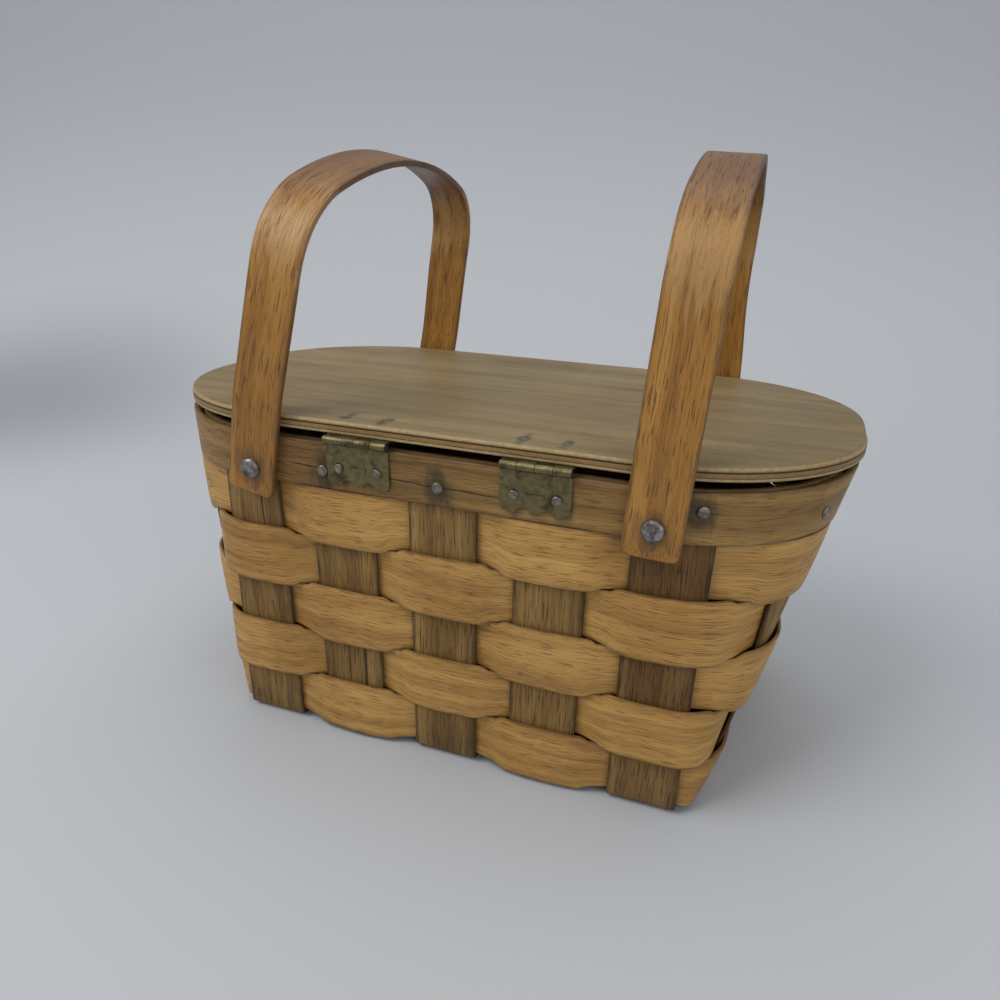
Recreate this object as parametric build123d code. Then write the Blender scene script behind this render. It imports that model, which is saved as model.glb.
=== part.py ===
import os
from math import asin, atan, cos, degrees, hypot, pi, radians, sin, tan, tanh

from build123d import *

# Picnic basket: a woven splint body with a bentwood rim, a hinged plywood lid and two
# swing handles. Millimetres, origin on the ground under the middle of the base, +X along
# the length, hinges on the -Y side.

os.makedirs("parts", exist_ok=True)

# wall: the surface midway through the upright splints
base_length = 201.8
base_width = 150.4
base_corner = 3.0
rim_length = 271.5
rim_width = 154.7
rim_corner = 63.05
rim_height = 132.5

# splints
splint_thickness = 1.2
stake_width = 27.5
corner_room = 4.15
end_room = 15.45
base_lift = 1.3
bend_radius = 1.0
bend_top = 4.6

# weavers
row_count = 5
row_gap = 0.4
first_row_height = 3.4
weave_depth = 2.1
weave_flatness = 1.5
samples_per_step = 6

# rim
rim_gap = 0.15
band_thickness = 2.2
band_height = 18.1
hoop_height = 16.5

# lid
lid_overhang = 1.3
lid_side_inset = 1.0
lid_corner = 67.5
lid_thickness = 5.2
lid_top_ease = 1.8
lid_bottom_ease = 0.6
lid_rest_gap = 0.3

# hinges
left_hinge_inset = 9.5
right_hinge_inset = 5.5
hinge_width = 25.4
hinge_rise = 1.9
sheet = 0.8
pin_radius = 0.75
pin_clearance = 0.05
knuckle_count = 4
knuckle_gap = 0.2
body_leaf_depth = 17.0
lid_leaf_depth = 16.0
hinge_nail_spacing = 15.4
hinge_nail_drop = 10.7
lid_nail_depth = 10.0
seat_gap = 0.05

# handles
pivot_inset = 6.0
pivot_drop = 12.8
handle_width = 20.0
handle_thickness = 2.3
handle_height = 111.3
handle_tail = 10.4
handle_play = 0.3
handle_knee = 28.0
handle_draw = 5.4
handle_corner = 33.0
crown_angle = 20.0
left_lean = 11.3
right_lean = 2.55

# fixings
rivet_radius = 2.0
rivet_clearance = 0.06
rivet_head_radius = 4.0
rivet_head_height = 2.0
washer_radius = 4.6
washer_thickness = 0.8
washer_play = 0.1
nail_radius = 0.8
nail_clearance = 0.05
nail_head_radius = 2.2
nail_head_height = 0.9
nail_seat = 0.1
nail_side = 5.8
end_nail_side = 7.5

half_splint = splint_thickness / 2
stake_pitch = (base_length / 2 - stake_width / 2 - corner_room) / 2
hinge_spots = (left_hinge_inset - stake_pitch, stake_pitch - right_hinge_inset)
end_pitch = base_width / 2 - stake_width / 2 - end_room
band_inner = half_splint + rim_gap
band_outer = band_inner + band_thickness
band_bottom = rim_height - band_height
row_pitch = (band_bottom - first_row_height) / row_count
row_height = row_pitch - row_gap


def wall_size(height, offset=0.0):
    """Half length, half width and corner radius of the wall at a height."""
    share = height / rim_height
    half_length = base_length / 2 + (rim_length - base_length) / 2 * share
    half_width = base_width / 2 + (rim_width - base_width) / 2 * share
    corner = base_corner + (rim_corner - base_corner) * share
    return half_length + offset, half_width + offset, corner + offset


def quarter_point(size, distance):
    """Point and outward direction at a distance round from the +X end."""
    half_length, half_width, corner = size
    if distance < half_width - corner:
        return half_length, distance, 1.0, 0.0
    distance = distance - (half_width - corner)
    if distance < corner * pi / 2:
        turn = distance / corner
        x = half_length - corner + corner * cos(turn)
        y = half_width - corner + corner * sin(turn)
        return x, y, cos(turn), sin(turn)
    distance = distance - corner * pi / 2
    return half_length - corner - distance, half_width, 0.0, 1.0


def quarter_length(size):
    half_length, half_width, corner = size
    return half_length + half_width - 2 * corner + corner * pi / 2


def outline_point(size, distance):
    quarter = quarter_length(size)
    turn = int(distance // quarter) % 4
    along = distance % quarter
    if turn % 2 == 1:
        along = quarter - along
    x, y, nx, ny = quarter_point(size, along)
    if turn in (1, 2):
        x, nx = -x, -nx
    if turn in (2, 3):
        y, ny = -y, -ny
    return x, y, nx, ny


def end_distance(size, y):
    half_length, half_width, corner = size
    straight = half_width - corner
    if y <= straight:
        return y
    return straight + corner * asin(min((y - straight) / corner, 1.0))


def side_distance(size, x):
    half_length, half_width, corner = size
    straight = half_length - corner
    if x <= straight:
        return quarter_length(size) - x
    return quarter_length(size) - straight - corner * asin(min((x - straight) / corner, 1.0))


def stake_distances(size):
    """Places of the sixteen uprights round the wall, from the +X end."""
    quarter = quarter_length(size)
    one = [0.0, end_distance(size, end_pitch)]
    for step in (2, 1):
        one.append(side_distance(size, step * stake_pitch))
    places = list(one)
    places.append(quarter)
    places.extend(2 * quarter - value for value in reversed(one[1:]))
    places.append(2 * quarter)
    places.extend(2 * quarter + value for value in one[1:])
    places.append(3 * quarter)
    places.extend(4 * quarter - value for value in reversed(one[1:]))
    return places


def wall_block(bottom, top, offset):
    sections = []
    for height in (bottom, top):
        half_length, half_width, corner = wall_size(height, offset)
        sections.append(Pos(0, 0, height) * RectangleRounded(2 * half_length, 2 * half_width, corner))
    return loft(sections, ruled=True)


def wall_ring(bottom, top, inner, outer):
    return wall_block(bottom, top, outer) - wall_block(bottom, top, inner)


def save(shape, name, shade):
    shape.label = name
    shape.color = shade
    export_step(shape, "parts/" + name + ".step")


def group(solids, name):
    return Compound(label=name, children=list(solids))


splint_shade = Color(0.45, 0.34, 0.2)
weaver_shade = Color(0.66, 0.5, 0.28)
wood_shade = Color(0.55, 0.38, 0.19)
ply_shade = Color(0.52, 0.45, 0.35)
brass_shade = Color(0.38, 0.35, 0.2)
steel_shade = Color(0.4, 0.38, 0.35)

# holes through the rim: nails through band, upright and hoop, and the handle rivets
nail_height = rim_height - band_height * 0.6


def side_spot(x, far, height):
    size = wall_size(height)
    x_point, y, nx, ny = quarter_point(size, side_distance(size, abs(x)))
    if x < 0:
        x_point, nx = -x_point, -nx
    if not far:
        y, ny = -y, -ny
    return x_point, y, nx, ny, height


def end_spot(y, right, height):
    size = wall_size(height)
    x, y_point, nx, ny = quarter_point(size, end_distance(size, abs(y)))
    if y < 0:
        y_point, ny = -y_point, -ny
    if not right:
        x, nx = -x, -nx
    return x, y_point, nx, ny, height


nail_spots = [
    side_spot(-stake_pitch - nail_side, False, nail_height),
    side_spot(-0.5, False, nail_height),
    side_spot(2 * stake_pitch + end_nail_side, False, nail_height + 4.5),
]
for step in (-2, -1, 0, 1, 2):
    shift = end_nail_side * step / 2 if abs(step) == 2 else 0.0
    nail_spots.append(side_spot(step * stake_pitch + shift, True, nail_height))
for right in (True, False):
    for step in (-1, 0, 1):
        nail_spots.append(end_spot(step * end_pitch, right, nail_height))


def spot_plane(spot, offset):
    """Plane square to the sloping wall, at an offset from the middle of the uprights."""
    x, y, nx, ny, height = spot
    end_slope = (rim_length - base_length) / 2 / rim_height
    side_slope = (rim_width - base_width) / 2 / rim_height
    corner_slope = (rim_corner - base_corner) / rim_height
    fall = corner_slope
    fall = fall + (end_slope - corner_slope) * abs(nx) + (side_slope - corner_slope) * abs(ny)
    length = hypot(1.0, fall)
    reach = offset / length / length
    origin = (x + nx * reach, y + ny * reach, height - fall * reach)
    return Plane(origin=origin, z_dir=(nx, ny, -fall))


def bar(plane, radius, length):
    """Round bar that starts on a plane and runs along its normal."""
    return plane * Cylinder(radius, length, align=(Align.CENTER, Align.CENTER, Align.MIN))


def head(plane, radius, height):
    """Low domed head that stands on a plane."""
    blank = Cylinder(radius, height, align=(Align.CENTER, Align.CENTER, Align.MIN))
    rim = blank.edges().sort_by(Axis.Z)[-1]
    return plane * fillet(rim, height * 0.85)


nail_drills = []
for spot in nail_spots:
    reach = 2 * band_outer + 4
    nail_drills.append(bar(spot_plane(spot, -reach / 2), nail_radius + nail_clearance, reach))

pivot_height = rim_height - pivot_drop
pivot_x = 2 * stake_pitch - pivot_inset
rivet_drills = []
for x in (-pivot_x, pivot_x):
    plane = Plane(origin=(x, -rim_width, pivot_height), z_dir=(0, 1, 0))
    rivet_drills.append(bar(plane, rivet_radius + nail_clearance, 2 * rim_width))

# base and uprights
wall_shell = wall_ring(bend_top, rim_height, -half_splint, half_splint)


def base_profile(half_at, crossings, highs):
    """Closed outline of a splint that runs under the body and turns up at both ends."""
    lift = [base_lift if high else 0.0 for high in highs]
    slope_room = 3.0
    lower = [(-half_at(bend_top, half_splint), bend_top), (-half_at(lift[0], half_splint), lift[0])]
    kinks = []
    for index in range(len(crossings) - 1):
        if lift[index] != lift[index + 1]:
            start = crossings[index] + stake_width / 2 + slope_room
            stop = crossings[index + 1] - stake_width / 2 - slope_room
            kinks.append((start, lift[index]))
            kinks.append((stop, lift[index + 1]))
    lower.extend(kinks)
    lower.append((half_at(lift[-1], half_splint), lift[-1]))
    lower.append((half_at(bend_top, half_splint), bend_top))
    inner_ends = []
    for side, level in ((-1, lift[0]), (1, lift[-1])):
        floor = level + splint_thickness
        inner_ends.append((side * half_at(floor, -half_splint), floor))
    upper = [(-half_at(bend_top, -half_splint), bend_top), inner_ends[0]]
    upper.extend((y, z + splint_thickness) for y, z in kinks)
    upper.append(inner_ends[1])
    upper.append((half_at(bend_top, -half_splint), bend_top))
    soft = [10.0] * len(kinks)
    outer_bend = bend_radius + splint_thickness
    radii = [0, outer_bend] + soft + [outer_bend, 0, 0, bend_radius] + soft + [bend_radius, 0]
    outline = FilletPolyline(*(lower + upper[::-1]), radius=radii, close=True)
    return make_face(outline)


long_places = [-end_pitch, 0.0, end_pitch]
cross_places = [step * stake_pitch for step in (-2, -1, 0, 1, 2)]

for index, x in enumerate(cross_places):
    high = index % 2 == 0
    highs = [high, not high, high]
    profile = base_profile(lambda z, off: wall_size(z, off)[1], long_places, highs)
    floor_part = extrude(Plane.YZ.offset(x - stake_width / 2) * profile, stake_width)
    slab = Pos(x, 0, rim_height / 2 + bend_top / 2) * Box(stake_width, 2 * rim_width, rim_height - bend_top)
    middle = Box(stake_width * 8, base_width * 0.6, 4 * rim_height)
    uprights = (wall_shell & slab) - middle
    splint = floor_part + uprights
    for drill in nail_drills + rivet_drills:
        splint = splint - drill
    save(splint, f"cross_splint_{index + 1}", splint_shade)

for index, y in enumerate(long_places):
    highs = []
    for place in range(5):
        cross_is_high = (place % 2 == 0) == (index != 1)
        highs.append(not cross_is_high)
    profile = base_profile(lambda z, off: wall_size(z, off)[0], cross_places, highs)
    floor_part = extrude(Plane.XZ.offset(-y - stake_width / 2) * profile, stake_width)
    edges_at = []
    for height in (0.0, rim_height):
        size = wall_size(height)
        middle_place = end_distance(size, end_pitch) if y != 0 else 0.0
        for side in (-1, 1):
            point = quarter_point(size, abs(middle_place + side * stake_width / 2))
            value = point[1] if y != 0 else side * stake_width / 2
            edges_at.append(value if y >= 0 else -value)
    wedge_points = [(edges_at[0], 0), (edges_at[1], 0), (edges_at[3], rim_height), (edges_at[2], rim_height)]
    wedge = extrude(Plane.YZ * make_face(Polyline(*wedge_points, close=True)), rim_length, both=True)
    middle = Box(base_length * 0.7, stake_width * 8, 4 * rim_height)
    uprights = (wall_shell & wedge) - middle
    splint = floor_part + uprights
    for drill in nail_drills:
        splint = splint - drill
    save(splint, f"long_splint_{index + 1}", splint_shade)


# weavers: five closed hoops that pass outside one upright and inside the next
def weave_samples(bottom_size):
    """Sample places as whole and part steps from one upright to the next."""
    places = stake_distances(bottom_size)
    total = 4 * quarter_length(bottom_size)
    half_length, half_width, corner = bottom_size
    quarter = quarter_length(bottom_size)
    bends = []
    for turn in range(4):
        start = half_width - corner
        if turn % 2 == 1:
            start = half_length - corner
        bends.append((turn * quarter + start, turn * quarter + start + corner * pi / 2))
    samples = []
    for index, place in enumerate(places):
        after = places[index + 1] if index < 15 else total
        steps = [share / samples_per_step for share in range(samples_per_step)]
        for start, stop in bends:
            if place < start and stop < after:
                for share in range(5):
                    steps.append((start + (stop - start) * share / 4 - place) / (after - place))
        steps.sort()
        kept = []
        for value in steps:
            if not kept or (value - kept[-1]) * (after - place) > 0.6:
                kept.append(value)
        samples.extend(index + value for value in kept)
    return samples


def weave_outline(size, samples, offset, even_outside, height):
    """Closed line of sixteen curves, one from each upright to the next."""
    places = stake_distances(size)
    places.append(4 * quarter_length(size))

    def weave_point(index, share):
        distance = places[index] + share * (places[index + 1] - places[index])
        x, y, nx, ny = outline_point(size, min(distance, places[-1] - 0.000001))
        wave = weave_depth * tanh(weave_flatness * cos(pi * (index + share))) / tanh(weave_flatness)
        if not even_outside:
            wave = -wave
        return (x + nx * (wave + offset), y + ny * (wave + offset), height), (-ny, nx, 0.0)

    curves = []
    for index in range(16):
        shares = [value - index for value in samples if index <= value < index + 1]
        spots = [weave_point(index, share) for share in shares]
        spots.append(weave_point((index + 1) % 16, 0.0))
        points = [point for point, along in spots]
        curves.append(Edge.make_spline(points, tangents=[spots[0][1], spots[-1][1]]))
    return Wire(curves)


for row in range(row_count):
    bottom = first_row_height + row * row_pitch
    top = bottom + row_height
    bottom_size = wall_size(bottom)
    top_size = wall_size(top)
    samples = weave_samples(bottom_size)
    even_outside = row % 2 == 1
    blocks = []
    for offset in (half_splint, -half_splint):
        low = weave_outline(bottom_size, samples, offset, even_outside, bottom)
        high = weave_outline(top_size, samples, offset, even_outside, top)
        blocks.append(Solid.make_loft([low, high], ruled=True))
    hoop = blocks[0] - blocks[1]
    save(hoop, f"weaver_row_{row + 1}", weaver_shade)

# rim band outside the uprights and hoop inside them
band = wall_ring(band_bottom, rim_height, band_inner, band_outer)
hoop = wall_ring(rim_height - hoop_height, rim_height, -band_outer, -band_inner)
for drill in nail_drills + rivet_drills:
    band = band - drill
    hoop = hoop - drill
nails = []
for spot in nail_spots:
    shank = bar(spot_plane(spot, -band_outer), nail_radius, 2 * band_outer + nail_seat)
    cap = head(spot_plane(spot, band_outer + nail_seat), nail_head_radius, nail_head_height)
    nails.append(shank + cap)

# hinge line
knuckle_radius = pin_radius + pin_clearance + sheet
hinge_height = rim_height + hinge_rise
wall_slope = atan((rim_width - base_width) / 2 / rim_height)
hinge_reach = wall_size(hinge_height)[1] + band_outer + (knuckle_radius + seat_gap) / cos(wall_slope)
lid_length = rim_length + 2 * band_outer + 2 * lid_overhang
lid_width = rim_width + 2 * band_outer - 2 * lid_side_inset
lid_underside = knuckle_radius + seat_gap
far_reach = hinge_reach + rim_width / 2 + band_outer
lid_tilt = degrees(atan((hinge_rise + lid_underside - lid_rest_gap) / far_reach))
knuckle_length = hinge_width / knuckle_count


def on_lid(shape):
    """Places a shape drawn from the hinge line with the lid flat."""
    return Pos(0, -hinge_reach, hinge_height) * Rot(-lid_tilt, 0, 0) * shape


def on_wall(shape):
    """Places a shape drawn from the hinge line with the wall upright."""
    return Pos(0, -hinge_reach, hinge_height) * Rot(degrees(wall_slope), 0, 0) * shape


def knuckles(x, first):
    rings = None
    for step in range(first, knuckle_count, 2):
        middle = x - hinge_width / 2 + knuckle_length * (step + 0.5)
        plane = Plane(origin=(middle, 0, 0), z_dir=(1, 0, 0))
        ring = plane * Cylinder(knuckle_radius, knuckle_length - knuckle_gap)
        rings = ring if rings is None else rings + ring
    return rings


def leaf_tabs(x, first, near, far, along_y):
    """Flat strips that join the leaf to its own knuckles."""
    tabs = None
    for step in range(first, knuckle_count, 2):
        middle = x - hinge_width / 2 + knuckle_length * (step + 0.5)
        size = knuckle_length - knuckle_gap
        thick = knuckle_radius - sheet / 2
        if along_y:
            tab = Pos(middle, (near + far) / 2, thick) * Box(size, far - near, sheet)
        else:
            tab = Pos(middle, thick, -(near + far) / 2) * Box(size, sheet, far - near)
        tabs = tab if tabs is None else tabs + tab
    return tabs


leaf_start = knuckle_radius + 0.5
pin_hole = pin_radius + pin_clearance
body_nails = []
lid_nails = []
lid_drills = []
hinge_names = ("left_hinge", "right_hinge")
for x, name in zip(hinge_spots, hinge_names):
    bore_plane = Plane(origin=(x - hinge_width, 0, 0), z_dir=(1, 0, 0))
    bore = bar(bore_plane, pin_hole, 2 * hinge_width)
    thick = knuckle_radius - sheet / 2

    depth = body_leaf_depth - leaf_start
    blank = Pos(x, thick, -leaf_start - depth / 2) * Box(hinge_width, sheet, depth)
    low_corners = blank.edges().filter_by(Axis.Y).group_by(Axis.Z)[0]
    blank = fillet(low_corners, 2.5)
    for side in (-1, 1):
        bite_plane = Plane(origin=(x + side * hinge_width * 0.17, -1, -body_leaf_depth - 0.8), z_dir=(0, 1, 0))
        blank = blank - bar(bite_plane, hinge_width * 0.11, 6)
        hole_plane = Plane(
            origin=(x + side * hinge_nail_spacing / 2, -1, -hinge_nail_drop + 0.55), z_dir=(0, 1, 0)
        )
        blank = blank - bar(hole_plane, nail_radius * 2, 6)
        nail_plane = Plane(
            origin=(x + side * hinge_nail_spacing / 2, knuckle_radius - sheet - seat_gap, -hinge_nail_drop),
            z_dir=(0, -1, 0),
        )
        shank_plane = Plane(origin=nail_plane.origin, z_dir=(0, 1, 0))
        shank_length = sheet + 2 * seat_gap + band_thickness
        nail = head(nail_plane, nail_head_radius * 0.84, nail_head_height * 0.8)
        nail = nail + bar(shank_plane, nail_radius, shank_length)
        body_nails.append(on_wall(nail))
        drill = on_wall(bar(shank_plane, nail_radius + nail_clearance, shank_length + 1.0))
        band = band - drill
    badge = Pos(x, knuckle_radius - sheet - 0.15, -hinge_nail_drop + 0.4) * Box(6.5, 0.5, 1.4)
    leaf = blank + badge + knuckles(x, 0) + leaf_tabs(x, 0, 0, leaf_start, False)
    save(on_wall(leaf - bore), name + "_body_leaf", brass_shade)

    depth = lid_leaf_depth - leaf_start
    blank = Pos(x, leaf_start + depth / 2, thick) * Box(hinge_width, depth, sheet)
    blank = fillet(blank.edges().filter_by(Axis.Z).group_by(Axis.Y)[-1], 2.5)
    for side in (-1, 1):
        place = (x + side * hinge_nail_spacing / 2, lid_nail_depth, knuckle_radius - sheet - seat_gap)
        head_plane = Plane(origin=place, z_dir=(0, 0, -1))
        shank_plane = Plane(origin=place, z_dir=(0, 0, 1))
        blank = blank - bar(Plane(origin=(place[0], place[1], -1)), nail_radius + nail_clearance, 6)
        nail = head(head_plane, nail_head_radius * 0.84, nail_head_height * 0.8)
        shank_length = sheet + 2 * seat_gap + lid_thickness
        nail = nail + bar(shank_plane, nail_radius, shank_length)
        lid_nails.append(on_lid(nail))
        lid_drills.append(bar(shank_plane, nail_radius + nail_clearance, shank_length + 2))
    leaf = blank + knuckles(x, 1) + leaf_tabs(x, 1, 0, leaf_start, True)
    save(on_lid(leaf - bore), name + "_lid_leaf", brass_shade)

    pin_plane = Plane(origin=(x - hinge_width / 2 + 0.3, 0, 0), z_dir=(1, 0, 0))
    pin = bar(pin_plane, pin_radius, hinge_width - 0.6)
    save(on_wall(pin), name + "_pin", steel_shade)

save(band, "outer_rim_band", wood_shade)
save(hoop, "inner_rim_hoop", wood_shade)
save(group(nails, "rim_nails"), "rim_nails", steel_shade)
save(group(body_nails, "hinge_body_nails"), "hinge_body_nails", steel_shade)
save(group(lid_nails, "hinge_lid_nails"), "hinge_lid_nails", steel_shade)

# lid
lid_outline = RectangleRounded(lid_length, lid_width, lid_corner)
lid = extrude(lid_outline, lid_thickness)
lid = fillet(lid.edges().group_by(Axis.Z)[-1], lid_top_ease)
lid = fillet(lid.edges().group_by(Axis.Z)[0], lid_bottom_ease)
lid = Pos(0, hinge_reach, lid_underside) * lid
for drill in lid_drills:
    lid = lid - drill
save(on_lid(lid), "lid_panel", ply_shade)

# handles: an arch drawn from its pivot, with the strip running along X
washer_room = washer_thickness + 2 * seat_gap
pivot_wall = wall_size(pivot_height)[1] + band_outer
leg_middle = pivot_wall + washer_room + handle_thickness / 2 + handle_play
leg_top_middle = leg_middle - handle_draw
crown = radians(crown_angle)
rise_guess = handle_height * 0.66
for attempt in range(20):
    leg_turn = atan(handle_draw / (rise_guess - handle_knee))
    centre_y = leg_top_middle - handle_corner * cos(leg_turn)
    centre_z = rise_guess - handle_corner * sin(leg_turn)
    shoulder_y = centre_y + handle_corner * sin(crown)
    shoulder_z = centre_z + handle_corner * cos(crown)
    crown_radius = shoulder_y / sin(crown)
    top = shoulder_z + crown_radius * (1 - cos(crown)) + handle_thickness / 2
    rise_guess = rise_guess + handle_height - top
knee_radius = 60.0
knee_cut = knee_radius * tan(leg_turn / 2)


def arch(offset):
    """Solid arch whose edge lies at an offset from the middle of the strip."""
    knee_y = leg_middle - knee_radius
    knee_z = handle_knee - knee_cut

    def knee_point(turn):
        reach = knee_radius + offset
        return knee_y + reach * cos(turn), knee_z + reach * sin(turn)

    def corner_point(turn):
        reach = handle_corner + offset
        return centre_y + reach * cos(turn), centre_z + reach * sin(turn)

    shoulder_turn = pi / 2 - crown
    foot = (leg_middle + offset, -handle_tail)
    pieces = [Line(foot, knee_point(0.0))]
    pieces.append(ThreePointArc(knee_point(0.0), knee_point(leg_turn / 2), knee_point(leg_turn)))
    pieces.append(Line(knee_point(leg_turn), corner_point(leg_turn)))
    middle_turn = (leg_turn + shoulder_turn) / 2
    pieces.append(
        ThreePointArc(corner_point(leg_turn), corner_point(middle_turn), corner_point(shoulder_turn))
    )
    right = Curve() + pieces
    left = mirror(right, about=Plane.YZ)
    shoulder = corner_point(shoulder_turn)
    peak = (0.0, handle_height - handle_thickness / 2 + offset)
    over = ThreePointArc(shoulder, peak, (-shoulder[0], shoulder[1]))
    foot_line = Line(foot, (-foot[0], foot[1]))
    return make_face([*right.edges(), *left.edges(), over, foot_line])


strip = arch(handle_thickness / 2) - arch(-handle_thickness / 2)
handle = extrude(Plane.YZ * strip, handle_width / 2, both=True)
foot_edges = handle.edges().filter_by(Axis.Y).group_by(Axis.Z)[0]
handle = fillet(foot_edges, 2.5)
handle_bore_plane = Plane(origin=(0, -rim_width, 0), z_dir=(0, 1, 0))
handle = handle - bar(handle_bore_plane, rivet_radius + rivet_clearance, 2 * rim_width)
sides = (("left_handle", -pivot_x, left_lean), ("right_handle", pivot_x, right_lean))
washers = []
pivot_size = wall_size(pivot_height, -band_outer)
hoop_past = max(pivot_x + washer_radius - (pivot_size[0] - pivot_size[2]), 0.0)
hoop_curve = pivot_size[2] - (pivot_size[2] ** 2 - hoop_past ** 2) ** 0.5
inner_face = pivot_size[1] - hoop_curve
outer_face = leg_middle + handle_thickness / 2 + seat_gap
for name, x, lean in sides:
    save(Pos(x, 0, pivot_height) * Rot(0, lean, 0) * handle, name, wood_shade)
    rivets = []
    for side in (-1, 1):
        head_plane = Plane(origin=(x, side * outer_face, pivot_height), z_dir=(0, side, 0))
        shank_plane = Plane(origin=(x, side * outer_face, pivot_height), z_dir=(0, -side, 0))
        tail_place = inner_face - washer_thickness - 2 * seat_gap - washer_play
        tail_plane = Plane(origin=(x, side * tail_place, pivot_height), z_dir=(0, -side, 0))
        shank = bar(shank_plane, rivet_radius, outer_face - tail_place)
        rivet = shank + head(head_plane, rivet_head_radius, rivet_head_height)
        rivets.append(rivet + head(tail_plane, rivet_radius * 1.6, rivet_head_height * 0.6))
        for start in (pivot_wall + handle_play / 2, inner_face - seat_gap - washer_play - washer_thickness):
            washer_plane = Plane(origin=(x, side * start, pivot_height), z_dir=(0, side, 0))
            ring = bar(washer_plane, washer_radius, washer_thickness)
            washers.append(ring - bar(washer_plane, rivet_radius + nail_clearance, washer_thickness))
    save(group(rivets, name + "_rivets"), name + "_rivets", steel_shade)
save(group(washers, "rivet_washers"), "rivet_washers", steel_shade)

print("hinge line", round(-hinge_reach, 3), round(hinge_height, 3), "lid tilt", round(lid_tilt, 3))
print("handle outer face", round(outer_face, 3), "pivot height", round(pivot_height, 3))
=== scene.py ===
from math import asin, atan, cos, pi, radians, sin, tan, tanh

import bpy
from mathutils import Matrix, Vector, noise


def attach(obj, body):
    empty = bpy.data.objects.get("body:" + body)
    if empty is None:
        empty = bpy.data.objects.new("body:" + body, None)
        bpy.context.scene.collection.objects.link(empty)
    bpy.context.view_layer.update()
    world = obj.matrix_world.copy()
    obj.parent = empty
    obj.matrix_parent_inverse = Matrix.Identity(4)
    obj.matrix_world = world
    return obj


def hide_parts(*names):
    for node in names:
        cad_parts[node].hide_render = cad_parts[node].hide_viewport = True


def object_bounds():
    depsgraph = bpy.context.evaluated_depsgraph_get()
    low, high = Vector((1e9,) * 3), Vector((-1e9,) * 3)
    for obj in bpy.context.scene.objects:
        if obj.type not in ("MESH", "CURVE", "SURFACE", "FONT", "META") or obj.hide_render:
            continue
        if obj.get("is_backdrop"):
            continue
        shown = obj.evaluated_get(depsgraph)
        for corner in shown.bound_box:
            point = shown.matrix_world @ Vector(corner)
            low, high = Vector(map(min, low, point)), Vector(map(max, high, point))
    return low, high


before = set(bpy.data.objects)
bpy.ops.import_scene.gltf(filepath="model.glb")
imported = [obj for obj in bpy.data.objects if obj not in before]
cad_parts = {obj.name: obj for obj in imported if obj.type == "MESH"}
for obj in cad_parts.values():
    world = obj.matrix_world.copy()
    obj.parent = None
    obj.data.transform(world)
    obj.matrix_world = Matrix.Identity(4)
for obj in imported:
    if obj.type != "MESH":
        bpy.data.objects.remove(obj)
low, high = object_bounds()
print("basket parts loaded")

mm = 0.001

# the wall: the surface midway through the uprights, tapering from base to rim
wall = {
    "baseLength": 201.8,
    "baseWidth": 150.4,
    "baseCorner": 3.0,
    "rimLength": 271.5,
    "rimWidth": 154.7,
    "rimCorner": 63.05,
    "rimHeight": 132.5,
    "stakeWidth": 27.5,
    "stakePitch": 41.5,
    "endPitch": 46.0,
    "splint": 1.2,
}


def wallSize(height):  # half length, half width and corner radius at a height
    share = height / wall["rimHeight"]
    halfLength = (wall["baseLength"] + (wall["rimLength"] - wall["baseLength"]) * share) / 2
    halfWidth = (wall["baseWidth"] + (wall["rimWidth"] - wall["baseWidth"]) * share) / 2
    corner = wall["baseCorner"] + (wall["rimCorner"] - wall["baseCorner"]) * share
    return halfLength, halfWidth, corner


def quarterLength(size):
    halfLength, halfWidth, corner = size
    return halfLength + halfWidth - 2 * corner + corner * pi / 2


def quarterPoint(size, distance):  # place and outward direction, from the +X end to the far side
    halfLength, halfWidth, corner = size
    if distance < halfWidth - corner:
        return halfLength, distance, 1.0, 0.0
    distance -= halfWidth - corner
    if distance < corner * pi / 2:
        turn = distance / corner
        x = halfLength - corner + corner * cos(turn)
        y = halfWidth - corner + corner * sin(turn)
        return x, y, cos(turn), sin(turn)
    distance -= corner * pi / 2
    return halfLength - corner - distance, halfWidth, 0.0, 1.0


def outlinePoint(size, distance):
    quarter = quarterLength(size)
    turn = int(distance // quarter) % 4
    along = distance % quarter
    if turn % 2:
        along = quarter - along
    x, y, nx, ny = quarterPoint(size, along)
    if turn in (1, 2):
        x, nx = -x, -nx
    if turn in (2, 3):
        y, ny = -y, -ny
    return x, y, nx, ny


def endDistance(size, y):  # along the outline to a given y on the end, or to a given x on the side
    straight = size[1] - size[2]
    if y <= straight:
        return y
    return straight + size[2] * asin(min((y - straight) / size[2], 1.0))


def sideDistance(size, x):
    straight = size[0] - size[2]
    if x <= straight:
        return quarterLength(size) - x
    return quarterLength(size) - straight - size[2] * asin(min((x - straight) / size[2], 1.0))


def stakePlaces(size):  # the sixteen uprights, from the +X end
    quarter = quarterLength(size)
    one = [endDistance(size, wall["endPitch"])]
    one += [sideDistance(size, step * wall["stakePitch"]) for step in (2, 1)]
    back = [2 * quarter - value for value in reversed(one)]
    half = [0.0] + one + [quarter] + back
    return half + [2 * quarter + value for value in half] + [4 * quarter]


def smooth(value):
    value = min(max(value, 0.0), 1.0)
    return value * value * (3 - 2 * value)


def addGrid(name, columns, rows):  # a flat grid, to be wrapped onto its place
    bpy.ops.object.select_all(action="DESELECT")
    bpy.ops.mesh.primitive_grid_add(x_subdivisions=columns, y_subdivisions=rows, size=1, calc_uvs=True)
    piece = bpy.context.object
    piece.name = piece.data.name = name
    return piece


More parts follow.
